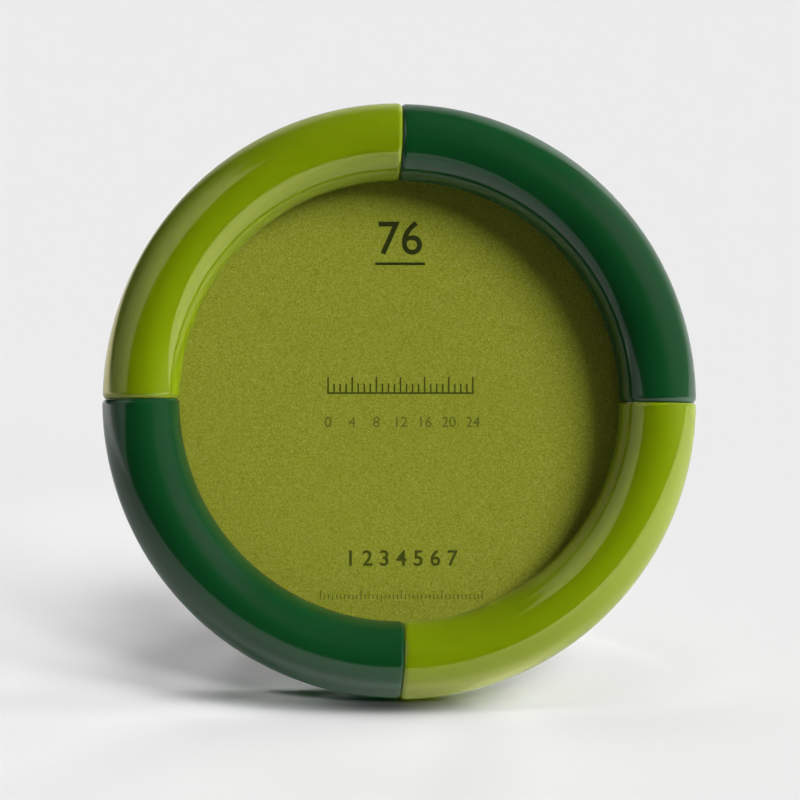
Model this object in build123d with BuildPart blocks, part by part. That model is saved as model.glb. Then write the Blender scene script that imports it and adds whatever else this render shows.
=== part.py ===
from build123d import *
from math import sin, cos, radians
import os

os.makedirs("parts", exist_ok=True)

# ---------------------------------------------------------------- driving sizes (mm)
lean = 21.0              # the whole frame leans back this far from the vertical
ring_r = 42.65           # centreline radius of the round tube
tube_r = 6.35            # radius of the tube's section, so the ring is 98 mm across
land_w = -5.6            # flat back of the ring, measured from the tube's mid-plane
seat_w = -2.0            # ledge that the glass sits on
rebate_r = 38.4          # radius of the rebate behind the ledge
joint_gap = 0.06         # between the end faces of two segments
# rounding of each segment's ends (at its start, at its end), and the part of that
# radius that the seam takes away again, which leaves a shallow groove
round_ur, round_ul, round_ll, round_lr = (1.25, 1.1), (1.0, 1.3), (1.0, 0.9), (1.1, 0.8)
seam_bite = 0.24

glass_r, glass_t = 38.0, 1.2
print_r, print_t = 38.0, 0.3      # a 76 mm round card
board_r, board_t = 38.1, 1.8
cover_r, cover_t = 38.1, 0.3

dowel_r, dowel_len = 1.2, 10.0

button_r = 42.6          # turn-button pivots lie on the middle of the ring's land
button_t = 0.7
button_gap = 0.1
screw_r = 1.0
screw_head_r, screw_head_h = 1.9, 1.25

open_angle = 35.0        # strut from the back when it stands open
pin_v = 12.0             # hinge pin above the centre of the ring
pin_r = 0.8
barrel_r = 1.4
leaf_t = 0.6
leaf_half = 8.0
knuckle_half = 3.0       # half-width of the strut's knuckle
knuckle_gap = 0.2
knuckle_clear = 0.06     # the strut's knuckle stays this far off the cover as it turns
heel = 2.45              # stop heel beyond the pin

strut_top_half, strut_foot_half = 8.6, 15.0
strut_board_t, strut_facing_t = 1.7, 0.2
strut_len = 66.0         # before the foot is bevelled to the table

# seams between the segments: place round the ring (degrees from +X towards the top,
# seen from the front) and how far the cut is turned out of the radius
seams = {"right": (-0.45, -0.35), "top": (90.0, -2.4), "left": (179.6, 1.3), "bottom": (270.15, -2.7)}

# small hand-assembly offsets of each segment in the frame's own plane (u, v)
shift_ul = (0.00, 0.06)
shift_ur = (0.00, -0.05)
shift_lr = (0.00, -0.12)
shift_ll = (-0.08, 0.04)

# ---------------------------------------------------------------- the leaning frame
s_l, c_l = sin(radians(lean)), cos(radians(lean))
X = Vector(1, 0, 0)
V = Vector(0, s_l, c_l)          # up along the frame
N = Vector(0, -c_l, s_l)         # out of the frame's front
centre = Vector(0.04, -1.847, tube_r + (ring_r - shift_lr[1]) * c_l)


def at(u, v, w=0.0):
    return centre + X * u + V * v + N * w


def face_plane(w, u=0.0, v=0.0):
    return Plane(origin=at(u, v, w), x_dir=X, z_dir=N)


def radial(deg):
    return X * cos(radians(deg)) + V * sin(radians(deg))


def tangent(deg):
    return V * cos(radians(deg)) - X * sin(radians(deg))


def section_plane(deg, shift):
    # x is the radius, y is the frame's front normal
    return Plane(origin=at(*shift), x_dir=radial(deg), z_dir=tangent(deg) * -1)


def seam_plane(name, side, rounding=0.0):
    # side +1: the plane that starts the next segment; -1: the one that ends the last.
    # With a rounding's radius it lies beyond the seam, where that rounding is made.
    deg, skew = seams[name]
    mid = centre + radial(deg) * ring_r
    along = side * (joint_gap / 2 - seam_bite * rounding)
    return Plane(origin=mid + tangent(deg + skew) * along, x_dir=radial(deg + skew), z_dir=tangent(deg + skew))


def seam_axis_plane(name):
    deg, skew = seams[name]
    mid = centre + radial(deg) * ring_r
    return Plane(origin=mid, x_dir=radial(deg), z_dir=tangent(deg))


def end_arc(part, plane):
    # the round edge of the tube's cut end that lies on the given plane
    return [e for e in part.edges() if e.geom_type != GeomType.LINE
            and all(abs((e.position_at(t) - plane.origin).dot(plane.z_dir)) < 1e-4 for t in (0.0, 0.3, 0.6, 0.9))]


def ring_axis(shift):
    return Axis(at(*shift), N)


button_angles = (45.0, 135.0, 225.0, 315.0)


def button_plane(deg, w):
    # x points at the middle of the frame, z out of the back
    return Plane(origin=centre + radial(deg) * button_r + N * w, x_dir=radial(deg) * -1, z_dir=N * -1)


# ---------------------------------------------------------------- ring segments
# Each one is a quarter of the round tube: revolved, cut to its two seams, its ends
# rounded over, then the flat land, the rebate, the dowel holes and the screw hole cut.
with BuildPart() as upper_right:
    with BuildSketch(section_plane(-6, shift_ur)):
        with Locations((ring_r, 0)):
            Circle(tube_r)
    revolve(axis=ring_axis(shift_ur), revolution_arc=102)
    split(bisect_by=seam_plane("right", 1, round_ur[0]), keep=Keep.TOP)
    split(bisect_by=seam_plane("top", -1, round_ur[1]), keep=Keep.BOTTOM)
    fillet(end_arc(upper_right.part, seam_plane("right", 1, round_ur[0])), radius=round_ur[0])
    fillet(end_arc(upper_right.part, seam_plane("top", -1, round_ur[1])), radius=round_ur[1])
    split(bisect_by=seam_plane("right", 1), keep=Keep.TOP)
    split(bisect_by=seam_plane("top", -1), keep=Keep.BOTTOM)
    with BuildSketch(section_plane(-8, shift_ur)):
        with Locations((ring_r, land_w - 2.0)):
            Rectangle(20, 4.0)
        with Locations((rebate_r - 10.0, seat_w - 4.0)):
            Rectangle(20, 8.0)
    revolve(axis=ring_axis(shift_ur), revolution_arc=106, mode=Mode.SUBTRACT)
    with BuildSketch(seam_axis_plane("right"), seam_axis_plane("top")):
        Circle(dowel_r + 0.02)
    extrude(amount=dowel_len / 2 + 0.2, both=True, mode=Mode.SUBTRACT)
    with BuildSketch(button_plane(45.0, land_w)):
        Circle(screw_r + 0.02)
    extrude(amount=-6.2, mode=Mode.SUBTRACT)
upper_right.part.label = "ring_segment_upper_right"
export_step(upper_right.part, "parts/ring_segment_upper_right.step")

with BuildPart() as upper_left:
    with BuildSketch(section_plane(84, shift_ul)):
        with Locations((ring_r, 0)):
            Circle(tube_r)
    revolve(axis=ring_axis(shift_ul), revolution_arc=102)
    split(bisect_by=seam_plane("top", 1, round_ul[0]), keep=Keep.TOP)
    split(bisect_by=seam_plane("left", -1, round_ul[1]), keep=Keep.BOTTOM)
    fillet(end_arc(upper_left.part, seam_plane("top", 1, round_ul[0])), radius=round_ul[0])
    fillet(end_arc(upper_left.part, seam_plane("left", -1, round_ul[1])), radius=round_ul[1])
    split(bisect_by=seam_plane("top", 1), keep=Keep.TOP)
    split(bisect_by=seam_plane("left", -1), keep=Keep.BOTTOM)
    with BuildSketch(section_plane(82, shift_ul)):
        with Locations((ring_r, land_w - 2.0)):
            Rectangle(20, 4.0)
        with Locations((rebate_r - 10.0, seat_w - 4.0)):
            Rectangle(20, 8.0)
    revolve(axis=ring_axis(shift_ul), revolution_arc=106, mode=Mode.SUBTRACT)
    with BuildSketch(seam_axis_plane("top"), seam_axis_plane("left")):
        Circle(dowel_r + 0.02)
    extrude(amount=dowel_len / 2 + 0.2, both=True, mode=Mode.SUBTRACT)
    with BuildSketch(button_plane(135.0, land_w)):
        Circle(screw_r + 0.02)
    extrude(amount=-6.2, mode=Mode.SUBTRACT)
upper_left.part.label = "ring_segment_upper_left"
export_step(upper_left.part, "parts/ring_segment_upper_left.step")

with BuildPart() as lower_left:
    with BuildSketch(section_plane(174, shift_ll)):
        with Locations((ring_r, 0)):
            Circle(tube_r)
    revolve(axis=ring_axis(shift_ll), revolution_arc=102)
    split(bisect_by=seam_plane("left", 1, round_ll[0]), keep=Keep.TOP)
    split(bisect_by=seam_plane("bottom", -1, round_ll[1]), keep=Keep.BOTTOM)
    fillet(end_arc(lower_left.part, seam_plane("left", 1, round_ll[0])), radius=round_ll[0])
    fillet(end_arc(lower_left.part, seam_plane("bottom", -1, round_ll[1])), radius=round_ll[1])
    split(bisect_by=seam_plane("left", 1), keep=Keep.TOP)
    split(bisect_by=seam_plane("bottom", -1), keep=Keep.BOTTOM)
    with BuildSketch(section_plane(172, shift_ll)):
        with Locations((ring_r, land_w - 2.0)):
            Rectangle(20, 4.0)
        with Locations((rebate_r - 10.0, seat_w - 4.0)):
            Rectangle(20, 8.0)
    revolve(axis=ring_axis(shift_ll), revolution_arc=106, mode=Mode.SUBTRACT)
    with BuildSketch(seam_axis_plane("left"), seam_axis_plane("bottom")):
        Circle(dowel_r + 0.02)
    extrude(amount=dowel_len / 2 + 0.2, both=True, mode=Mode.SUBTRACT)
    with BuildSketch(button_plane(225.0, land_w)):
        Circle(screw_r + 0.02)
    extrude(amount=-6.2, mode=Mode.SUBTRACT)
lower_left.part.label = "ring_segment_lower_left"
export_step(lower_left.part, "parts/ring_segment_lower_left.step")

with BuildPart() as lower_right:
    with BuildSketch(section_plane(264, shift_lr)):
        with Locations((ring_r, 0)):
            Circle(tube_r)
    revolve(axis=ring_axis(shift_lr), revolution_arc=102)
    split(bisect_by=seam_plane("bottom", 1, round_lr[0]), keep=Keep.TOP)
    split(bisect_by=seam_plane("right", -1, round_lr[1]), keep=Keep.BOTTOM)
    fillet(end_arc(lower_right.part, seam_plane("bottom", 1, round_lr[0])), radius=round_lr[0])
    fillet(end_arc(lower_right.part, seam_plane("right", -1, round_lr[1])), radius=round_lr[1])
    split(bisect_by=seam_plane("bottom", 1), keep=Keep.TOP)
    split(bisect_by=seam_plane("right", -1), keep=Keep.BOTTOM)
    with BuildSketch(section_plane(262, shift_lr)):
        with Locations((ring_r, land_w - 2.0)):
            Rectangle(20, 4.0)
        with Locations((rebate_r - 10.0, seat_w - 4.0)):
            Rectangle(20, 8.0)
    revolve(axis=ring_axis(shift_lr), revolution_arc=106, mode=Mode.SUBTRACT)
    with BuildSketch(seam_axis_plane("bottom"), seam_axis_plane("right")):
        Circle(dowel_r + 0.02)
    extrude(amount=dowel_len / 2 + 0.2, both=True, mode=Mode.SUBTRACT)
    with BuildSketch(button_plane(315.0, land_w)):
        Circle(screw_r + 0.02)
    extrude(amount=-6.2, mode=Mode.SUBTRACT)
lower_right.part.label = "ring_segment_lower_right"
export_step(lower_right.part, "parts/ring_segment_lower_right.step")

# steel dowels that join the segments end to end, one in each seam
with BuildPart() as dowels:
    with BuildSketch(seam_axis_plane("right"), seam_axis_plane("top"), seam_axis_plane("left"),
                     seam_axis_plane("bottom")):
        Circle(dowel_r)
    extrude(amount=dowel_len / 2, both=True)
    chamfer(dowels.edges().filter_by(GeomType.CIRCLE), length=0.25)
dowels.part.label = "segment_dowels"
export_step(dowels.part, "parts/segment_dowels.step")

# ---------------------------------------------------------------- what the rebate holds
with BuildPart() as glass:
    with BuildSketch(face_plane(seat_w)):
        Circle(glass_r)
    extrude(amount=-glass_t)
    chamfer(glass.edges().filter_by(GeomType.CIRCLE), length=0.15)
glass.part.label = "glass_pane"
export_step(glass.part, "parts/glass_pane.step")

print_w = seat_w - glass_t
with BuildPart() as print_card:
    with BuildSketch(face_plane(print_w)):
        Circle(print_r)
    extrude(amount=-print_t)
print_card.part.label = "print_card"
export_step(print_card.part, "parts/print_card.step")

board_w = print_w - print_t
pin_w = land_w - barrel_r
rivet_u, rivet_v, rivet_a = 5.0, 6.2, -7.2
with BuildPart() as board:
    with BuildSketch(face_plane(board_w)):
        Circle(board_r)
        with Locations((-rivet_u, pin_v + rivet_v), (rivet_u, pin_v + rivet_v)):
            Circle(0.82, mode=Mode.SUBTRACT)
    extrude(amount=-board_t)
board.part.label = "backing_board"
export_step(board.part, "parts/backing_board.step")

cover_w = board_w - board_t
with BuildPart() as cover:
    with BuildSketch(face_plane(cover_w)):
        Circle(cover_r)
        with Locations((-rivet_u, pin_v + rivet_v), (rivet_u, pin_v + rivet_v)):
            Circle(0.82, mode=Mode.SUBTRACT)
    extrude(amount=-cover_t)
cover.part.label = "backing_cover"
export_step(cover.part, "parts/backing_cover.step")

# ---------------------------------------------------------------- turn buttons
# A stamped tab on a screw in the land of each segment; its long end laps the board.
tab_w = land_w - button_gap

with BuildPart() as button_ur:
    with BuildSketch(button_plane(45.0, tab_w)):
        Circle(2.7)
        with Locations((4.1, 0)):
            Circle(2.0)
        make_hull()
        Circle(screw_r + 0.07, mode=Mode.SUBTRACT)
    extrude(amount=button_t)
    fillet(button_ur.faces().sort_by(Axis(centre, N * -1))[-1].outer_wire().edges(), radius=0.25)
    with BuildSketch(button_plane(45.0, tab_w - button_t)):
        with Locations((4.1, 0)):
            Circle(0.8)
    extrude(amount=-0.25, mode=Mode.SUBTRACT)
button_ur.part.label = "turn_button_upper_right"
export_step(button_ur.part, "parts/turn_button_upper_right.step")

with BuildPart() as button_ul:
    with BuildSketch(button_plane(135.0, tab_w)):
        Circle(2.7)
        with Locations((4.1, 0)):
            Circle(2.0)
        make_hull()
        Circle(screw_r + 0.07, mode=Mode.SUBTRACT)
    extrude(amount=button_t)
    fillet(button_ul.faces().sort_by(Axis(centre, N * -1))[-1].outer_wire().edges(), radius=0.25)
    with BuildSketch(button_plane(135.0, tab_w - button_t)):
        with Locations((4.1, 0)):
            Circle(0.8)
    extrude(amount=-0.25, mode=Mode.SUBTRACT)
button_ul.part.label = "turn_button_upper_left"
export_step(button_ul.part, "parts/turn_button_upper_left.step")

with BuildPart() as button_ll:
    with BuildSketch(button_plane(225.0, tab_w)):
        Circle(2.7)
        with Locations((4.1, 0)):
            Circle(2.0)
        make_hull()
        Circle(screw_r + 0.07, mode=Mode.SUBTRACT)
    extrude(amount=button_t)
    fillet(button_ll.faces().sort_by(Axis(centre, N * -1))[-1].outer_wire().edges(), radius=0.25)
    with BuildSketch(button_plane(225.0, tab_w - button_t)):
        with Locations((4.1, 0)):
            Circle(0.8)
    extrude(amount=-0.25, mode=Mode.SUBTRACT)
button_ll.part.label = "turn_button_lower_left"
export_step(button_ll.part, "parts/turn_button_lower_left.step")

with BuildPart() as button_lr:
    with BuildSketch(button_plane(315.0, tab_w)):
        Circle(2.7)
        with Locations((4.1, 0)):
            Circle(2.0)
        make_hull()
        Circle(screw_r + 0.07, mode=Mode.SUBTRACT)
    extrude(amount=button_t)
    fillet(button_lr.faces().sort_by(Axis(centre, N * -1))[-1].outer_wire().edges(), radius=0.25)
    with BuildSketch(button_plane(315.0, tab_w - button_t)):
        with Locations((4.1, 0)):
            Circle(0.8)
    extrude(amount=-0.25, mode=Mode.SUBTRACT)
button_lr.part.label = "turn_button_lower_right"
export_step(button_lr.part, "parts/turn_button_lower_right.step")

# pan-head screws: head over the tab, shank through it into the segment, cross recess
head_w = tab_w - button_t - 0.05
with BuildPart() as screws:
    with BuildSketch(*[button_plane(a, head_w) for a in button_angles]):
        Circle(screw_head_r)
    extrude(amount=screw_head_h)
    fillet(screws.faces().group_by(Axis(centre, N * -1))[-1].edges(), radius=0.55)
    with BuildSketch(*[button_plane(a, head_w) for a in button_angles]):
        Circle(screw_r)
    extrude(amount=-6.4)
    chamfer(screws.faces().group_by(Axis(centre, N * -1))[0].edges(), length=0.6)
    with BuildSketch(*[button_plane(a, head_w - screw_head_h) for a in button_angles]):
        Rectangle(2.1, 0.45, rotation=20)
        Rectangle(0.45, 2.1, rotation=20)
    extrude(amount=-0.7, mode=Mode.SUBTRACT)
screws.part.label = "turn_button_screws"
export_step(screws.part, "parts/turn_button_screws.step")

# ---------------------------------------------------------------- strut and its hinge
pin = at(0, pin_v, pin_w)
s_o, c_o = sin(radians(open_angle)), cos(radians(open_angle))
Vs = V * c_o + N * s_o            # up along the open strut
Ns = N * c_o - V * s_o            # the strut's own front, towards the backing board


def strut_at(u, a, b):
    return pin + X * u + Vs * a + Ns * b


def strut_plane(b, u=0.0, a=0.0):
    return Plane(origin=strut_at(u, a, b), x_dir=X, z_dir=Ns)


def fixed_end_plane(u):
    # across the hinge: x is up along the frame, y its front normal
    return Plane(origin=pin + X * u, x_dir=V, z_dir=X)


def strut_end_plane(u):
    return Plane(origin=pin + X * u, x_dir=Vs, z_dir=X)


plate_from = 2.0
plate_to = 10.4
knuckle_len = leaf_half - knuckle_half - knuckle_gap

with BuildPart() as fixed_leaf:
    with BuildSketch(face_plane(land_w)) as fixed_plate:
        with Locations((0, pin_v + (plate_from + plate_to) / 2)):
            Rectangle(2 * leaf_half, plate_to - plate_from)
        fillet(fixed_plate.vertices().group_by(Axis.Y)[-1], radius=2.0)
        with Locations((-rivet_u, pin_v + rivet_v), (rivet_u, pin_v + rivet_v)):
            Circle(0.82, mode=Mode.SUBTRACT)
    extrude(amount=-leaf_t)
    with BuildSketch(fixed_end_plane(-leaf_half), fixed_end_plane(knuckle_half + knuckle_gap)):
        Circle(barrel_r)
        with Locations(((plate_from + 0.4) / 2, barrel_r - leaf_t / 2)):
            Rectangle(plate_from + 0.4, leaf_t)
        Circle(pin_r, mode=Mode.SUBTRACT)
    extrude(amount=knuckle_len)
fixed_leaf.part.label = "hinge_leaf_fixed"
export_step(fixed_leaf.part, "parts/hinge_leaf_fixed.step")

with BuildPart() as hinge_pin:
    with BuildSketch(fixed_end_plane(-leaf_half - 0.1)):
        Circle(pin_r)
    extrude(amount=2 * leaf_half + 0.2)
    with BuildSketch(fixed_end_plane(-leaf_half - 0.55), fixed_end_plane(leaf_half + 0.05)):
        Circle(1.15)
    extrude(amount=0.5)
    fillet(hinge_pin.faces().sort_by(Axis.X)[0].edges(), radius=0.3)
    fillet(hinge_pin.faces().sort_by(Axis.X)[-1].edges(), radius=0.3)
hinge_pin.part.label = "hinge_pin"
export_step(hinge_pin.part, "parts/hinge_pin.step")

with BuildPart() as fixed_rivets:
    with BuildSketch(face_plane(land_w - leaf_t)):
        with Locations((-rivet_u, pin_v + rivet_v), (rivet_u, pin_v + rivet_v)):
            Circle(1.6)
    extrude(amount=-0.65)
    fillet(fixed_rivets.faces().group_by(Axis(centre, N))[0].edges(), radius=0.5)
    with BuildSketch(face_plane(land_w - leaf_t)):
        with Locations((-rivet_u, pin_v + rivet_v), (rivet_u, pin_v + rivet_v)):
            Circle(0.8)
    extrude(amount=leaf_t + cover_t + board_t - 0.1)
fixed_rivets.part.label = "board_rivets"
export_step(fixed_rivets.part, "parts/board_rivets.step")

with BuildPart() as strut_leaf:
    with BuildSketch(strut_plane(-barrel_r)) as strut_plate:
        with Locations((0, -(plate_from + plate_to) / 2)):
            Rectangle(2 * leaf_half, plate_to - plate_from)
        fillet(strut_plate.vertices().group_by(Axis.Y)[0], radius=2.0)
        with Locations((-rivet_u, rivet_a), (rivet_u, rivet_a)):
            Circle(0.82, mode=Mode.SUBTRACT)
    extrude(amount=leaf_t)
    with BuildSketch(strut_end_plane(-knuckle_half)):
        Circle(barrel_r - knuckle_clear)
        with Locations((-(plate_from + 0.4) / 2, -barrel_r + leaf_t / 2)):
            Rectangle(plate_from + 0.4, leaf_t)
        with Locations((heel / 2, -barrel_r + leaf_t / 2)):
            Rectangle(heel, leaf_t)
        Circle(pin_r + 0.05, mode=Mode.SUBTRACT)
    extrude(amount=2 * knuckle_half)
strut_leaf.part.label = "hinge_leaf_strut"
export_step(strut_leaf.part, "parts/hinge_leaf_strut.step")

board_b = -barrel_r + leaf_t + strut_facing_t      # outer face of the strut's board
with BuildPart() as strut_board:
    with BuildSketch(strut_plane(board_b)) as board_outline:
        with BuildLine():
            Polyline((-strut_top_half, -1.9), (strut_top_half, -1.9), (strut_foot_half, -strut_len),
                     (-strut_foot_half, -strut_len), close=True)
        make_face()
        fillet(board_outline.vertices().group_by(Axis.Y)[-1], radius=1.8)
        with Locations((-rivet_u, rivet_a), (rivet_u, rivet_a)):
            Circle(0.82, mode=Mode.SUBTRACT)
    extrude(amount=strut_board_t)
    split(bisect_by=Plane.XY, keep=Keep.TOP)
strut_board.part.label = "strut_board"
export_step(strut_board.part, "parts/strut_board.step")

with BuildPart() as strut_facing:
    with BuildSketch(strut_plane(board_b - strut_facing_t)) as facing_outline:
        with BuildLine():
            Polyline((-strut_top_half, -1.9), (strut_top_half, -1.9), (strut_foot_half, -strut_len),
                     (-strut_foot_half, -strut_len), close=True)
        make_face()
        fillet(facing_outline.vertices().group_by(Axis.Y)[-1], radius=1.8)
        with Locations((-rivet_u, rivet_a), (rivet_u, rivet_a)):
            Circle(0.82, mode=Mode.SUBTRACT)
    extrude(amount=strut_facing_t)
    split(bisect_by=Plane.XY, keep=Keep.TOP)
strut_facing.part.label = "strut_facing"
export_step(strut_facing.part, "parts/strut_facing.step")

with BuildPart() as strut_rivets:
    with BuildSketch(strut_plane(-barrel_r)):
        with Locations((-rivet_u, rivet_a), (rivet_u, rivet_a)):
            Circle(1.6)
    extrude(amount=-0.65)
    fillet(strut_rivets.faces().group_by(Axis(pin, Ns))[0].edges(), radius=0.5)
    with BuildSketch(strut_plane(-barrel_r)):
        with Locations((-rivet_u, rivet_a), (rivet_u, rivet_a)):
            Circle(0.8)
    extrude(amount=leaf_t + strut_facing_t + strut_board_t - 0.05)
strut_rivets.part.label = "strut_rivets"
export_step(strut_rivets.part, "parts/strut_rivets.step")
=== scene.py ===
import math

import bpy
import bmesh
from mathutils import Matrix, Vector


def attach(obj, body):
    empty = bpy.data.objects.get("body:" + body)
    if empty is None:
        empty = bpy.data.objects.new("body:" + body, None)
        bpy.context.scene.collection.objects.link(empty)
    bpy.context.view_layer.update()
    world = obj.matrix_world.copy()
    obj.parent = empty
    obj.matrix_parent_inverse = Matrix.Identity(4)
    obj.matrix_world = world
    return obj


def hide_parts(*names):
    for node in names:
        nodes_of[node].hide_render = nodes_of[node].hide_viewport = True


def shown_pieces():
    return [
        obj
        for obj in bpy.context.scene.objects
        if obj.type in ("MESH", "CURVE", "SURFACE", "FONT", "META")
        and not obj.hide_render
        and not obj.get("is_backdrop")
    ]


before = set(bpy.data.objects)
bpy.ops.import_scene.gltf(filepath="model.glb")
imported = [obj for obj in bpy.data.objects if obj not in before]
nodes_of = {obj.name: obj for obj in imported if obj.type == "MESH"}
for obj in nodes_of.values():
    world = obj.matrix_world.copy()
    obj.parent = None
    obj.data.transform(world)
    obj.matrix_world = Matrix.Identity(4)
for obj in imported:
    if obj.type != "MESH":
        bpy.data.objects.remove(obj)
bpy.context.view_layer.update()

scene = bpy.context.scene

# ------------------------------------------------------------------ the frame's own axes, in metres
lean = math.radians(21.0)
X = Vector((1, 0, 0))
V = Vector((0, math.sin(lean), math.cos(lean)))          # up the frame
N = Vector((0, -math.cos(lean), math.sin(lean)))         # out of the front
centre = Vector((0.00004, -0.001847, 0.046279))
MM = 0.001


def at(u, v, w=0.0):
    return centre + X * (u * MM) + V * (v * MM) + N * (w * MM)


# ------------------------------------------------------------------ node-graph helpers
class Graph:
    def __init__(self, tree):
        self.t = tree
        self.t.nodes.clear()
        self.count = 0

    def node(self, kind, **props):
        n = self.t.nodes.new(kind)
        n.location = (200 * (self.count % 12), -220 * (self.count // 12))
        self.count += 1
        for k, v in props.items():
            setattr(n, k, v)
        return n

    def put(self, socket, value):
        if value is None:
            return
        if isinstance(value, bpy.types.NodeSocket):
            self.t.links.new(value, socket)
        elif hasattr(socket.default_value, "__len__") and not hasattr(value, "__len__"):
            socket.default_value = [value] * len(socket.default_value)
        else:
            if hasattr(value, "__len__") and len(socket.default_value) == 4 and len(value) == 3:
                value = (*value, 1.0)
            socket.default_value = value

    def math(self, op, a, b=None, c=None, clamp=False):
        n = self.node("ShaderNodeMath", operation=op, use_clamp=clamp)
        for s, v in zip(n.inputs, (a, b, c)):
            self.put(s, v)
        return n.outputs[0]

    def vec(self, op, a, b=None, scale=None):
        n = self.node("ShaderNodeVectorMath", operation=op)
        self.put(n.inputs[0], a)
        if b is not None:
            self.put(n.inputs[1], b)
        if scale is not None:
            self.put(n.inputs["Scale"], scale)
        return n.outputs["Value"] if op in ("DOT_PRODUCT", "LENGTH", "DISTANCE") else n.outputs["Vector"]

    def ramp(self, x, lo, hi, a=0.0, b=1.0, smooth=True):
        n = self.node("ShaderNodeMapRange", interpolation_type="SMOOTHSTEP" if smooth else "LINEAR", clamp=True)
        self.put(n.inputs["Value"], x)
        for k, v in (("From Min", lo), ("From Max", hi), ("To Min", a), ("To Max", b)):
            self.put(n.inputs[k], v)
        return n.outputs["Result"]

    def mix(self, fac, a, b, blend="MIX"):
        n = self.node("ShaderNodeMix", data_type="RGBA", blend_type=blend)
        self.put(n.inputs["Factor"], fac)
        self.put(n.inputs[6], a)
        self.put(n.inputs[7], b)
        return n.outputs[2]

    def noise(self, vector, scale, detail=2.0, rough=0.5, distortion=0.0):
        n = self.node("ShaderNodeTexNoise")
        self.put(n.inputs["Vector"], vector)
        for k, v in (("Scale", scale), ("Detail", detail), ("Roughness", rough), ("Distortion", distortion)):
            self.put(n.inputs[k], v)
        return n.outputs["Fac"]

    def cells(self, vector, scale, out="Color", feature="F1"):
        n = self.node("ShaderNodeTexVoronoi", feature=feature)
        self.put(n.inputs["Vector"], vector)
        self.put(n.inputs["Scale"], scale)
        return n.outputs[out]

    def bump(self, height, strength, distance, normal=None):
        n = self.node("ShaderNodeBump")
        self.put(n.inputs["Strength"], strength)
        self.put(n.inputs["Distance"], distance)
        self.put(n.inputs["Height"], height)
        if normal is not None:
            self.put(n.inputs["Normal"], normal)
        return n.outputs["Normal"]

    def shader(self, kind, **inputs):
        n = self.node(kind)
        for k, v in inputs.items():
            self.put(n.inputs[k.replace("_", " ")], v)
        return n


def material(name):
    m = bpy.data.materials.new(name)
    m.use_nodes = True
    g = Graph(m.node_tree)
    out = g.node("ShaderNodeOutputMaterial")
    return m, g, out


def place(g):
    return g.node("ShaderNodeTexCoord").outputs["Object"]


def stretched(g, vector, scale):
    return g.vec("MULTIPLY", vector, scale)


# ------------------------------------------------------------------ lacquered ring
def lacquer(name, body, deep, rough=0.045, gleam=None):
    m, g, out = material(name)
    p = place(g)
    cloud = g.noise(p, 55.0, 3.0, 0.55)
    fine = g.noise(p, 1900.0, 2.0, 0.6)
    shade = g.math("ADD", g.math("MULTIPLY", g.ramp(cloud, 0.32, 0.68), 0.85), g.math("MULTIPLY", fine, 0.15))
    colour = g.mix(shade, deep, body)
    # a few flecks of pigment that didn't dissolve, and hairline polishing marks
    fleck = g.cells(p, 900.0, out="Distance")
    fleck = g.ramp(fleck, 0.03, 0.075, 1.0, 0.0)
    colour = g.mix(g.math("MULTIPLY", fleck, 0.10), colour, tuple(c * 0.55 for c in deep))
    peel = g.noise(p, 420.0, 2.0, 0.45)
    long_wave = g.noise(p, 95.0, 1.0, 0.4)
    hair = g.noise(stretched(g, p, (260.0, 3800.0, 3800.0)), 1.0, 1.0, 0.5)
    height = g.math("ADD", g.math("MULTIPLY", peel, 0.30), g.math("MULTIPLY", long_wave, 1.2))
    coat_n = g.bump(height, 0.10, 0.0001)
    skin_n = g.bump(g.math("ADD", height, g.math("MULTIPLY", fine, 0.10)), 0.16, 0.0001)
    r = g.math("ADD", rough, g.math("MULTIPLY", g.ramp(hair, 0.60, 0.75), 0.03))
    r = g.math("ADD", r, g.math("MULTIPLY", g.ramp(g.noise(p, 38.0, 4.0, 0.6), 0.5, 0.72), 0.02))
    # at a low angle the clear coat's gloss is a little weaker than a perfect one's
    grazing = g.node("ShaderNodeLayerWeight")
    g.put(grazing.inputs["Blend"], 0.5)
    facing = grazing.outputs["Facing"]
    s = g.shader("ShaderNodeBsdfPrincipled", Base_Color=colour, Roughness=0.34, IOR=1.45,
                 Coat_Weight=1.0, Coat_Roughness=0.035, Coat_IOR=1.5, Normal=skin_n, Coat_Normal=coat_n,
                 Sheen_Weight=0.04, Sheen_Roughness=0.35)
    g.put(s.inputs["Specular IOR Level"], 0.04)
    g.put(s.inputs["Roughness"], g.math("ADD", 0.30, r))
    weight = g.ramp(facing, 0.42, 0.76, 1.0, 0.52)
    g.put(s.inputs["Coat Weight"], weight)
    if gleam is None:
        g.t.links.new(s.outputs[0], out.inputs["Surface"])
        return m
    # on the bright pigment whatever the coat mirrors comes out yellower than it is
    f = g.math("ADD", 0.04, g.math("MULTIPLY", g.math("POWER", facing, 5.0), 0.96))
    warm = g.shader("ShaderNodeBsdfGlossy", Roughness=0.045, Normal=coat_n)
    g.put(warm.inputs["Color"], g.vec("SCALE", gleam, scale=g.math("MULTIPLY", g.math("MINIMUM", f, 0.12), weight)))
    both = g.node("ShaderNodeAddShader")
    g.t.links.new(s.outputs[0], both.inputs[0])
    g.t.links.new(warm.outputs[0], both.inputs[1])
    g.t.links.new(both.outputs[0], out.inputs["Surface"])
    return m


lime = lacquer("lacquer_lime_finish", (0.199, 0.290, 0.0008), (0.187, 0.272, 0.0005), gleam=(1.05, 0.74, 0.0))
green = lacquer("lacquer_green_finish", (0.0044, 0.0630, 0.0152), (0.0033, 0.0570, 0.0130))


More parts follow.
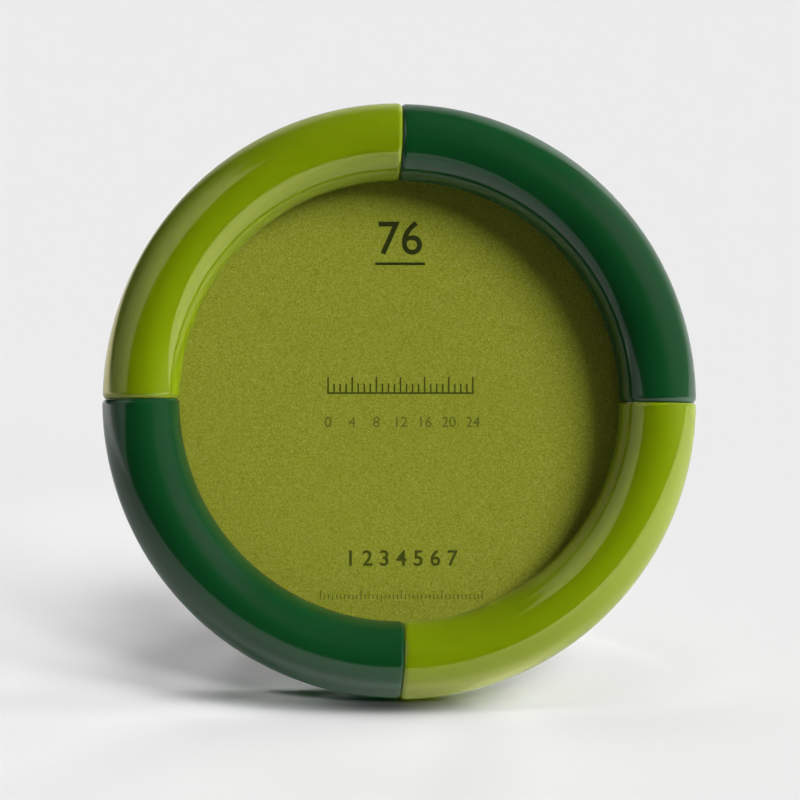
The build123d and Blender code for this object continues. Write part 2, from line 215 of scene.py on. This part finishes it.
# ------------------------------------------------------------------ glass
def glass():
    m, g, out = material("float_glass_finish")
    p = place(g)
    smear = g.ramp(g.noise(p, 70.0, 5.0, 0.6, 0.6), 0.50, 0.80)
    dust = g.ramp(g.cells(p, 420.0, out="Distance"), 0.020, 0.045, 1.0, 0.0)
    n = g.bump(g.noise(p, 60.0, 1.0, 0.4), 0.03, 0.0001)
    clear = g.node("ShaderNodeBsdfTransparent")
    g.put(clear.inputs["Color"], (0.975, 0.985, 0.975))
    shine = g.node("ShaderNodeBsdfGlossy")
    g.put(shine.inputs["Color"], (1.0, 1.0, 1.0))
    g.put(shine.inputs["Roughness"], g.math("ADD", 0.02, g.math("MULTIPLY", smear, 0.03)))
    g.put(shine.inputs["Normal"], n)
    haze = g.node("ShaderNodeBsdfDiffuse")
    g.put(haze.inputs["Color"], (0.55, 0.56, 0.54))
    grazing = g.node("ShaderNodeLayerWeight")
    g.put(grazing.inputs["Blend"], 0.5)
    sheen = g.math("ADD", 0.04, g.math("MULTIPLY", g.math("POWER", grazing.outputs["Facing"], 5.0), 0.96))
    a = g.node("ShaderNodeMixShader")
    g.put(a.inputs[0], sheen)
    g.t.links.new(clear.outputs[0], a.inputs[1])
    g.t.links.new(shine.outputs[0], a.inputs[2])
    b = g.node("ShaderNodeMixShader")
    g.put(b.inputs[0], g.math("MULTIPLY", dust, 0.012))
    g.t.links.new(a.outputs[0], b.inputs[1])
    g.t.links.new(haze.outputs[0], b.inputs[2])
    g.t.links.new(b.outputs[0], out.inputs["Surface"])
    return m


# ------------------------------------------------------------------ pearl card and its print
def pearl_card():
    m, g, out = material("pearl_card_finish")
    p = place(g)
    # paper fibre, a fine metallic grain and a scatter of brighter and darker flakes about 0.3 mm across
    fibre = g.noise(stretched(g, p, (900.0, 900.0, 2600.0)), 1.0, 3.0, 0.6)
    grain = g.noise(p, 3700.0, 3.0, 0.65)
    flake_col = g.cells(p, 4800.0, out="Color")
    sep = g.node("ShaderNodeSeparateColor")
    g.put(sep.inputs[0], flake_col)
    flake = g.ramp(sep.outputs[0], 0.45, 1.0, smooth=False)
    dark_flake = g.ramp(sep.outputs[1], 0.45, 1.0, smooth=False)
    cloud = g.noise(p, 60.0, 3.0, 0.5)
    base = g.mix(g.ramp(grain, 0.28, 0.72), (0.364, 0.387, 0.024), (0.516, 0.540, 0.058))
    base = g.mix(g.math("MULTIPLY", g.ramp(fibre, 0.35, 0.65), 0.35), base, (0.438, 0.460, 0.045))
    base = g.mix(g.math("MULTIPLY", flake, 0.28), base, (0.77, 0.78, 0.22))
    base = g.mix(g.math("MULTIPLY", dark_flake, 0.43), base, (0.192, 0.206, 0.005))
    base = g.mix(g.math("MULTIPLY", g.ramp(cloud, 0.35, 0.65), 0.12), base, (0.400, 0.425, 0.039))
    h = g.math("ADD", g.math("MULTIPLY", grain, 0.6), g.math("MULTIPLY", fibre, 0.5))
    n = g.bump(h, 0.35, 0.00003)
    s = g.shader("ShaderNodeBsdfPrincipled", Base_Color=base, Metallic=0.12, Roughness=0.48, Normal=n)
    g.put(s.inputs["Roughness"], g.ramp(grain, 0.3, 0.7, 0.42, 0.56))
    g.put(s.inputs["Specular IOR Level"], 0.12)
    g.t.links.new(s.outputs[0], out.inputs["Surface"])
    return m


def ink(name, colour):
    m, g, out = material(name)
    p = place(g)
    grain = g.noise(p, 3400.0, 3.0, 0.6)
    c = g.mix(g.ramp(grain, 0.35, 0.7), tuple(x * 0.82 for x in colour), tuple(x * 1.25 for x in colour))
    n = g.bump(grain, 0.3, 0.00002)
    s = g.shader("ShaderNodeBsdfPrincipled", Base_Color=c, Roughness=0.55, Normal=n)
    g.put(s.inputs["Roughness"], g.ramp(grain, 0.3, 0.7, 0.48, 0.62))
    g.t.links.new(s.outputs[0], out.inputs["Surface"])
    return m


# ------------------------------------------------------------------ back of the frame
def hardboard():
    m, g, out = material("hardboard_finish")
    p = place(g)
    fibre = g.noise(stretched(g, p, (420.0, 1500.0, 620.0)), 1.0, 5.0, 0.65, 0.8)
    speck = g.cells(p, 1400.0, out="Distance")
    c = g.mix(g.ramp(fibre, 0.30, 0.72), (0.075, 0.040, 0.018), (0.230, 0.140, 0.070))
    c = g.mix(g.math("MULTIPLY", g.ramp(speck, 0.05, 0.16, 1.0, 0.0), 0.5), c, (0.33, 0.22, 0.12))
    h = g.math("ADD", fibre, g.math("MULTIPLY", speck, 0.4))
    s = g.shader("ShaderNodeBsdfPrincipled", Base_Color=c, Roughness=0.78, Normal=g.bump(h, 0.6, 0.00012))
    g.put(s.inputs["Roughness"], g.ramp(fibre, 0.3, 0.7, 0.70, 0.88))
    g.t.links.new(s.outputs[0], out.inputs["Surface"])
    return m


def flock():
    m, g, out = material("flock_finish")
    p = place(g)
    pile = g.noise(p, 5200.0, 3.0, 0.7)
    nap = g.noise(stretched(g, p, (150.0, 150.0, 60.0)), 1.0, 4.0, 0.6, 0.5)
    lint = g.ramp(g.cells(p, 260.0, out="Distance"), 0.012, 0.030, 1.0, 0.0)
    c = g.mix(g.ramp(pile, 0.30, 0.75), (0.0045, 0.0046, 0.0050), (0.030, 0.030, 0.031))
    c = g.mix(g.math("MULTIPLY", g.ramp(nap, 0.40, 0.65), 0.45), c, (0.036, 0.036, 0.037))
    c = g.mix(g.math("MULTIPLY", lint, 0.45), c, (0.16, 0.16, 0.15))
    h = g.math("ADD", pile, g.math("MULTIPLY", nap, 0.8))
    s = g.shader("ShaderNodeBsdfPrincipled", Base_Color=c, Roughness=0.92, Normal=g.bump(h, 0.9, 0.00010),
                 Sheen_Weight=0.35, Sheen_Roughness=0.35)
    g.put(s.inputs["Sheen Tint"], (0.50, 0.50, 0.52))
    g.put(s.inputs["Specular IOR Level"], 0.2)
    g.put(s.inputs["Roughness"], g.ramp(pile, 0.3, 0.7, 0.85, 0.98))
    g.t.links.new(s.outputs[0], out.inputs["Surface"])
    return m


def metal(name, colour, worn, lines, rough, brush=0.5):
    m, g, out = material(name)
    p = place(g)
    brushed = g.noise(stretched(g, p, lines), 1.0, 3.0, 0.6)
    fine = g.noise(p, 2600.0, 2.0, 0.6)
    cloud = g.noise(p, 240.0, 4.0, 0.6)
    spots = g.ramp(g.cells(p, 700.0, out="Distance"), 0.03, 0.07, 1.0, 0.0)
    c = g.mix(g.ramp(cloud, 0.35, 0.70), colour, worn)
    c = g.mix(g.math("MULTIPLY", g.ramp(brushed, 0.45, 0.75), 0.25), c, tuple(x * 0.72 for x in colour))
    c = g.mix(g.math("MULTIPLY", spots, 0.35), c, tuple(x * 0.45 for x in worn))
    r = g.math("ADD", g.ramp(brushed, 0.30, 0.70, rough, rough + 0.14), g.math("MULTIPLY", g.ramp(cloud, 0.4, 0.7), 0.08))
    h = g.math("ADD", g.math("MULTIPLY", brushed, brush), g.math("MULTIPLY", fine, 0.25))
    s = g.shader("ShaderNodeBsdfPrincipled", Base_Color=c, Metallic=1.0, Normal=g.bump(h, 0.35, 0.00003))
    g.put(s.inputs["Roughness"], r)
    g.t.links.new(s.outputs[0], out.inputs["Surface"])
    return m


nickel = metal("nickel_finish", (0.66, 0.63, 0.57), (0.56, 0.53, 0.47), (220.0, 5200.0, 5200.0), 0.20)
zinc = metal("zinc_finish", (0.60, 0.61, 0.63), (0.50, 0.51, 0.50), (1500.0, 1500.0, 1500.0), 0.26, 0.3)
satin = metal("rivet_finish", (0.64, 0.62, 0.58), (0.54, 0.52, 0.48), (2400.0, 2400.0, 2400.0), 0.28, 0.3)
steel = metal("dowel_finish", (0.42, 0.42, 0.42), (0.34, 0.33, 0.32), (300.0, 4000.0, 4000.0), 0.35)
pane, board, pile = glass(), hardboard(), flock()

finish_of = {
    "ring_segment_upper_left": lime, "ring_segment_upper_right": green,
    "ring_segment_lower_right": lime, "ring_segment_lower_left": green,
    "segment_dowels": steel, "glass_pane": pane, "backing_board": board, "backing_cover": pile,
    "turn_button_upper_left": nickel, "turn_button_upper_right": nickel,
    "turn_button_lower_left": nickel, "turn_button_lower_right": nickel,
    "turn_button_screws": zinc, "hinge_leaf_fixed": nickel, "hinge_pin": zinc, "board_rivets": satin,
    "hinge_leaf_strut": nickel, "strut_board": board, "strut_facing": pile, "strut_rivets": satin,
}
for name, mat in finish_of.items():
    o = nodes_of[name]
    for i in range(len(o.material_slots)):
        o.material_slots[i].material = mat


# ------------------------------------------------------------------ the print card, with its generic marks
def link(o):
    scene.collection.objects.link(o)
    return o


card_face_w = -3.26                     # just behind the glass, whose back is at -3.2


def make_card():
    bm = bmesh.new()
    r_out, t, edge = 38.0, 0.24, 0.05
    rs = [4, 9, 14, 19, 24, 28, 32, 35, 37, r_out - edge]
    seg = 192
    top, bottom = [], []
    for side, store in ((0.0, top), (-t, bottom)):
        store.append([bm.verts.new(at(0, 0, card_face_w + side))])
        for r in rs:
            store.append([bm.verts.new(at(r * math.cos(2 * math.pi * k / seg), r * math.sin(2 * math.pi * k / seg),
                                          card_face_w + side)) for k in range(seg)])
    rim_a = [bm.verts.new(at(r_out * math.cos(2 * math.pi * k / seg), r_out * math.sin(2 * math.pi * k / seg),
                             card_face_w - edge)) for k in range(seg)]
    rim_b = [bm.verts.new(at(r_out * math.cos(2 * math.pi * k / seg), r_out * math.sin(2 * math.pi * k / seg),
                             card_face_w - t + edge)) for k in range(seg)]
    for store, flip in ((top, False), (bottom, True)):
        for k in range(seg):
            f = [store[0][0], store[1][k], store[1][(k + 1) % seg]]
            bm.faces.new(f[::-1] if flip else f)
        for a, b in zip(store[1:-1], store[2:]):
            for k in range(seg):
                f = [a[k], b[k], b[(k + 1) % seg], a[(k + 1) % seg]]
                bm.faces.new(f[::-1] if flip else f)
    for a, b in ((top[-1], rim_a), (rim_a, rim_b), (rim_b, bottom[-1])):
        for k in range(seg):
            bm.faces.new([a[k], b[k], b[(k + 1) % seg], a[(k + 1) % seg]])
    bmesh.ops.recalc_face_normals(bm, faces=bm.faces)
    me = bpy.data.meshes.new("picture_card")
    bm.to_mesh(me)
    bm.free()
    o = link(bpy.data.objects.new("picture_card", me))
    me.materials.append(pearl_card())
    return o


card = make_card()
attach(card, "frame")
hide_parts("print_card")

# marks on the card: plain numbers, a short millimetre rule and rows of ticks. They lie on its face, 0.02 mm thick.
ink_t = 0.02
to_frame = Matrix.Translation(centre) @ Matrix((X, V, N)).transposed().to_4x4() @ Matrix.Scale(MM, 4)


def bar(bm, u0, v0, u1, v1):
    w0, w1 = card_face_w + 0.002, card_face_w + 0.002 + ink_t
    c = [bm.verts.new((u, v, w)) for w in (w0, w1) for u, v in ((u0, v0), (u1, v0), (u1, v1), (u0, v1))]
    for f in ((3, 2, 1, 0), (4, 5, 6, 7), (0, 1, 5, 4), (1, 2, 6, 5), (2, 3, 7, 6), (3, 0, 4, 7)):
        bm.faces.new([c[i] for i in f])


def number(bm, text, u, v, height, weight=0.0):
    cu = bpy.data.curves.new("digits", "FONT")
    cu.body = text
    cu.size = height / 0.72
    cu.align_x, cu.align_y = "CENTER", "CENTER"
    cu.resolution_u = 8
    cu.extrude = ink_t / 2
    cu.offset = weight
    o = bpy.data.objects.new("digits", cu)
    me = bpy.data.meshes.new_from_object(o)
    lo = min(p.co.y for p in me.vertices)
    hi = max(p.co.y for p in me.vertices)
    me.transform(Matrix.Translation((u, v - (lo + hi) / 2, card_face_w + 0.002 + ink_t / 2)))
    bm.from_mesh(me)
    bpy.data.meshes.remove(me)
    bpy.data.objects.remove(o)
    bpy.data.curves.remove(cu)


def print_piece(name, build, mat):
    bm = bmesh.new()
    build(bm)
    bmesh.ops.remove_doubles(bm, verts=bm.verts, dist=0.0004)
    bmesh.ops.recalc_face_normals(bm, faces=bm.faces)
    me = bpy.data.meshes.new(name)
    bm.to_mesh(me)
    bm.free()
    me.transform(to_frame)
    me.materials.append(mat)
    o = link(bpy.data.objects.new(name, me))
    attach(o, "frame")
    return o


def strong_marks(bm):
    number(bm, "76", 0.25, 27.0, 5.6, 0.04)
    bar(bm, -3.9, 22.5, 4.4, 22.95)


def middle_marks(bm):
    number(bm, "1 2 3 4 5 6 7", 0.4, -25.9, 2.6, 0.05)
    for i in range(25):                                       # a 24 mm rule with its longer marks every 4 mm
        x = i - 12 + 0.3
        bar(bm, x - 0.13, 1.5, x + 0.13, 4.0 if i % 4 == 0 else 2.9)
    bar(bm, -12.0 + 0.17, 1.2, 12.0 + 0.43, 1.5)


def faint_marks(bm):
    for i, text in enumerate(("0", "4", "8", "12", "16", "20", "24")):
        number(bm, text, 4.0 * i - 12 + 0.3, -3.4, 1.75)
    for i in range(41):
        x = -13.4 + 0.67 * i
        bar(bm, x - 0.08 + 0.4, -32.7, x + 0.08 + 0.4, -31.2 if i % 10 == 0 else -31.9)


print_piece("card_print_dark", strong_marks, ink("ink_dark_finish", (0.035, 0.042, 0.005)))
print_piece("card_print_mid", middle_marks, ink("ink_mid_finish", (0.085, 0.100, 0.008)))
print_piece("card_print_light", faint_marks, ink("ink_light_finish", (0.165, 0.185, 0.018)))

# ------------------------------------------------------------------ floor
DEG = 180 / math.pi

# the table's lamps: azimuth, elevation, width in degrees, and the share of the open table's light each gives
table_lamps = [(75.0, 50.0, 28.0, 0.244), (150.0, 18.0, 16.0, 0.163), (105.0, 34.0, 28.0, 0.382),
               (-150.0, 82.0, 16.0, 0.215), (90.0, 82.0, 16.0, 0.051), (30.0, 42.0, 16.0, 0.144)]
open_light = sum(l[3] for l in table_lamps)


def oval(g, p, x, y, long, short, turn):
    # 1 at (x, y), falling off softly over a turned oval
    q = g.vec("SUBTRACT", p, (x, y, 0.0))
    a = g.vec("DOT_PRODUCT", q, (math.cos(turn) / long, math.sin(turn) / long, 0.0))
    b = g.vec("DOT_PRODUCT", q, (-math.sin(turn) / short, math.cos(turn) / short, 0.0))
    return g.math("EXPONENT", g.math("MULTIPLY", g.math("ADD", g.math("MULTIPLY", a, a), g.math("MULTIPLY", b, b)), -1.0))


def floor():
    # a pale table whose front edge is nearer on the left than on the right
    outline = [(-3.0, -0.02), (-0.90, -0.09), (-0.41, -0.13), (-0.26, -0.165), (-0.13, -0.150), (-0.08, -0.162),
               (-0.045, -0.195), (0.0, -0.345), (0.145, -0.56), (0.45, -0.80), (1.2, -1.22), (3.0, -2.0),
               (3.0, 3.0), (-3.0, 3.0)]
    me = bpy.data.meshes.new("floor")
    me.from_pydata([(x, y, 0.0) for x, y in outline], [], [tuple(range(len(outline)))])
    o = link(bpy.data.objects.new("floor", me))
    m, g, out = material("floor_finish")
    p = place(g)
    c = g.mix(g.noise(p, 800.0, 2.0, 0.5), (0.803, 0.802, 0.804), (0.811, 0.810, 0.811))
    # painted reflection: as mirrored in the lacquer, the table's colour is painted brighter towards the lit side and
    # dimmer front left
    q = g.vec("SUBTRACT", p, (0.0, -0.017, 0.0))
    to_right = g.vec("DOT_PRODUCT", q, (0.985, -0.174, 0.0))
    to_front_left = g.vec("DOT_PRODUCT", q, (-0.707, -0.707, 0.0))
    to_back = g.vec("DOT_PRODUCT", q, (0.0, 1.0, 0.0))
    f = g.math("ADD", 1.0, g.math("MULTIPLY", g.ramp(to_right, 0.02, 0.15), g.ramp(to_back, 0.0, 0.12, 0.95, 0.38)))
    f = g.math("SUBTRACT", f, g.math("MULTIPLY", g.ramp(to_front_left, 0.03, 0.13), 0.30))
    # painted reflection: the mirrored table is lifted behind on the left and dimmed in an oval further left
    f = g.math("ADD", f, g.ramp(g.vec("DOT_PRODUCT", q, (-0.85, 0.53, 0.0)), 0.14, 0.24, 0.0, 1.1))
    f = g.math("SUBTRACT", f, g.math("MULTIPLY", oval(g, p, -0.092, 0.030, 0.050, 0.040, 0.0), 0.40))
    f = g.math("MULTIPLY", f, g.ramp(to_back, 0.15, 0.8, 1.0, 0.75))
    f = g.math("MULTIPLY", f, g.ramp(to_front_left, 0.13, 0.35, 1.0, 0.4))
    # a painted bright spot of reflection on the table at the foot of the ring, seen only in mirrored rays
    f = g.math("ADD", f, g.math("MULTIPLY", oval(g, p, 0.0, -0.020, 0.028, 0.006, 0.0), 2.2))
    # painted light: the table's colour is scaled by soft ovals around the frame, lower in the open and higher in the
    # shadow's outer part, so all but the deep of the shadow comes out even, as if the table were lit beyond its own
    # white
    shade = None
    for x, y, long, short, turn, depth in ((-0.0781, -0.1099, 0.0221, 0.1017, -0.547, 0.170),
                                           (-0.0081, -0.0240, 0.0229, 0.0756, -0.095, 0.199),
                                           (-0.0643, -0.0022, 0.0667, 0.0314, 0.388, 0.198),
                                           (-0.0092, 0.0056, 0.0306, 0.0105, -0.277, 5.185),
                                           (-0.0497, 0.0610, 0.0448, 0.0348, 1.150, 0.144)):
        blob = g.math("MULTIPLY", oval(g, p, x, y, long, short, turn), depth)
        shade = blob if shade is None else g.math("ADD", shade, blob)
    reach = g.math("MAXIMUM", g.math("SUBTRACT", 1.0, shade), 0.3)
    painted_light_gain = g.math("MINIMUM", 1.0, g.math("DIVIDE", 1.01 / open_light, reach))
    # painted light and shade on the table: small painted lifts at the shadow's left end, and painted deeper shade at
    # its root and along the foot of the ring
    painted_light_and_shade = 1.0
    for x, y, long, short, turn, depth in ((-0.054, -0.007, 0.024, 0.015, 0.0, 0.24), (-0.036, -0.014, 0.012, 0.012, 0.0, 0.14),
                                           (-0.018, -0.0147, 0.0065, 0.0045, 0.0, 0.70), (-0.029, -0.021, 0.008, 0.0045, 0.0, 0.42),
                                           (-0.0025, -0.021, 0.011, 0.0042, 0.0, -0.70), (-0.038, 0.022, 0.012, 0.014, 0.0, -0.32),
                                           (0.032, -0.025, 0.022, 0.012, 0.0, -0.09), (-0.012, -0.052, 0.022, 0.014, 0.0, -0.05)):
        painted_light_and_shade = g.math("ADD", painted_light_and_shade, g.math("MULTIPLY", oval(g, p, x, y, long, short, turn), depth))
    c = g.vec("SCALE", c, scale=painted_light_gain)
    path = g.node("ShaderNodeLightPath")
    c = g.mix(path.outputs["Is Glossy Ray"], g.vec("SCALE", c, scale=painted_light_and_shade), g.vec("SCALE", c, scale=f))
    c = g.mix(path.outputs["Is Diffuse Ray"], c, g.vec("SCALE", c, scale=0.45))
    s = g.shader("ShaderNodeBsdfDiffuse", Color=c)
    # from below the table isn't there
    clear = g.node("ShaderNodeBsdfTransparent")
    geo = g.node("ShaderNodeNewGeometry")
    mix = g.node("ShaderNodeMixShader")
    g.put(mix.inputs[0], g.math("MULTIPLY", geo.outputs["Backfacing"], path.outputs["Is Camera Ray"]))
    g.t.links.new(s.outputs[0], mix.inputs[1])
    g.t.links.new(clear.outputs[0], mix.inputs[2])
    g.t.links.new(mix.outputs[0], out.inputs["Surface"])
    me.materials.append(m)
    o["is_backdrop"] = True
    return o


ground = floor()

# ------------------------------------------------------------------ light
# The world is what the lacquer mirrors: white cards to the left and behind, dark in front and overhead, and a large
# dim source to the right. Camera rays that miss the table see its own pale tone.
world = bpy.data.worlds.new("studio")
scene.world = world
world.use_nodes = True
g = Graph(world.node_tree)
out = g.node("ShaderNodeOutputWorld")
d = g.vec("NORMALIZE", g.node("ShaderNodeTexCoord").outputs["Generated"])
sx = g.node("ShaderNodeSeparateXYZ")
g.put(sx.inputs[0], d)
dx, dy, dz = sx.outputs
az = g.math("MULTIPLY", g.math("ARCTAN2", dx, g.math("MULTIPLY", dy, -1.0)), DEG)     # 0 towards the viewer, + to the right
el = g.math("MULTIPLY", g.math("ARCSINE", dz), DEG)
behind = g.math("MODULO", g.math("ADD", az, 360.0), 360.0)                            # the same, from 0 to 360


def window(x, lo, hi, soft_lo, soft_hi=None):
    soft_hi = soft_lo if soft_hi is None else soft_hi
    return g.math("MULTIPLY", g.ramp(x, lo - soft_lo, lo + soft_lo), g.ramp(x, hi - soft_hi, hi + soft_hi, 1.0, 0.0))


def product(first, *rest):
    for r in rest:
        first = g.math("MULTIPLY", first, r)
    return first


def brightest(first, *rest):
    for r in rest:
        first = g.math("MAXIMUM", first, r)
    return first


left_edge = g.math("ADD", g.ramp(el, 0.0, 14.0, -62.0, -51.0, smooth=False), g.ramp(el, 26.0, 48.0, 0.0, 15.0))
card_left = product(g.ramp(az, -112.0, -60.0, 0.46, 0.98, smooth=False), g.ramp(az, -114.0, -106.0),
                    g.ramp(g.math("SUBTRACT", az, left_edge), -4.0, 4.0, 1.0, 0.0),
                    g.ramp(el, 0.0, 46.0, 0.55, 1.0, smooth=False), g.ramp(el, 57.0, 64.0, 1.0, 0.0))
card_dim = product(window(az, -129.0, -108.0, 4.0), g.ramp(el, 0.0, 40.0, 0.08, 0.20), g.ramp(el, 46.0, 54.0, 1.0, 0.0))
back = product(window(behind, 133.0, 206.0, 6.0, 7.0), g.ramp(behind, 151.0, 166.0, 1.38, 0.74),
               g.ramp(el, 18.0, 46.0, 1.0, 0.42), g.ramp(el, 44.0, 54.0, 1.0, 0.0), g.ramp(el, 4.0, 16.0, 0.68, 1.0))
low_right = product(g.ramp(g.math("ADD", az, g.math("MULTIPLY", el, 1.3)), 52.0, 72.0), g.ramp(az, 124.0, 134.0, 1.0, 0.0),
                    g.ramp(el, 60.0, 28.0, 0.0, 0.22))
mid_right = product(window(az, 30.0, 120.0, 12.0, 8.0), window(el, 24.0, 47.0, 9.0, 6.0), 0.31)
high_right = product(window(az, 26.0, 165.0, 14.0, 14.0), window(el, 65.0, 82.0, 6.0, 6.0), 0.11)
low_back_right = product(window(az, 114.0, 140.0, 6.0), g.ramp(el, 2.0, 24.0, 0.65, 0.42), g.ramp(el, 30.0, 40.0, 1.0, 0.0))
level = brightest(card_left, card_dim, back, low_right, mid_right, high_right, low_back_right, 0.006)

path = g.node("ShaderNodeLightPath")
seen = g.shader("ShaderNodeBackground", Strength=1.0)
g.put(seen.inputs["Color"], (0.8388, 0.8388, 0.8388))
shine = g.shader("ShaderNodeBackground")
g.put(shine.inputs["Color"], (1.0, 1.0, 1.0))
g.put(shine.inputs["Strength"], level)
fill = g.shader("ShaderNodeBackground", Strength=0.012)
g.put(fill.inputs["Color"], (0.98, 0.99, 1.0))
a = g.node("ShaderNodeMixShader")
g.put(a.inputs[0], path.outputs["Is Glossy Ray"])
g.t.links.new(fill.outputs[0], a.inputs[1])
g.t.links.new(shine.outputs[0], a.inputs[2])
b = g.node("ShaderNodeMixShader")
g.put(b.inputs[0], path.outputs["Is Camera Ray"])
g.t.links.new(a.outputs[0], b.inputs[1])
g.t.links.new(seen.outputs[0], b.inputs[2])
g.t.links.new(b.outputs[0], out.inputs["Surface"])

# soft lamps: some for the object and some for the table around it
on_object = bpy.data.collections.new("lit_object")
on_ring = bpy.data.collections.new("lit_ring")
on_table = bpy.data.collections.new("lit_table")
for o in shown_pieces():
    on_object.objects.link(o)
    if "card" not in o.name:
        on_ring.objects.link(o)
on_table.objects.link(ground)


def lamp(name, azimuth, elevation, angle, strength, receivers, blockers=None):
    a, e = math.radians(azimuth), math.radians(elevation)
    towards = Vector((math.sin(a) * math.cos(e), -math.cos(a) * math.cos(e), math.sin(e)))
    data = bpy.data.lights.new(name, "SUN")
    data.energy, data.angle = strength, math.radians(angle)
    o = link(bpy.data.objects.new(name, data))
    o.rotation_mode = "QUATERNION"
    o.rotation_quaternion = towards.to_track_quat("Z", "Y")
    o.location = centre + towards * 0.6
    o.visible_glossy = False
    o.light_linking.receiver_collection = receivers
    if blockers is not None:
        o.light_linking.blocker_collection = blockers
    return o


lamp("key", 58.0, 40.0, 27.0, 3.04, on_object)
lamp("side", 90.0, 14.0, 27.0, 1.62, on_object)
lamp("rear", 180.0, 25.0, 100.0, 1.35, on_object)
lamp("top", 0.0, 90.0, 60.0, 0.30, on_object)
lamp("from_table", 20.0, -35.0, 110.0, 0.28, on_ring, on_object)        # the table's own glow, from below
lamp("from_below", 0.0, -72.0, 80.0, 0.50, on_ring, on_object)


def table_lamp(name, azimuth, elevation, angle, share):
    # share: its part of the open table's light
    lamp(name, azimuth, elevation, angle, 3.2 * share / math.sin(math.radians(elevation)), on_table)


for i, l in enumerate(table_lamps):
    table_lamp("table_%d" % (i + 1), *l)

# ------------------------------------------------------------------ camera
cam = bpy.data.cameras.new("camera")
cam.sensor_width = 36.0
cam.lens = 291.2924
cam.clip_start, cam.clip_end = 0.05, 20.0
eye = link(bpy.data.objects.new("camera", cam))
right, up, backward = (Vector((0.9969173, -0.07376, 0.0267449)), Vector((0.0, 0.3408773, 0.9401078)),
                       Vector((-0.0784591, -0.9372098, 0.3398265)))
turn = Matrix((right, up, backward)).transposed().to_4x4()
eye.matrix_world = Matrix.Translation((-0.083665, -1.001095, 0.408751)) @ turn
scene.camera = eye
scene.view_settings.view_transform = "Standard"
scene.view_settings.look = "None"
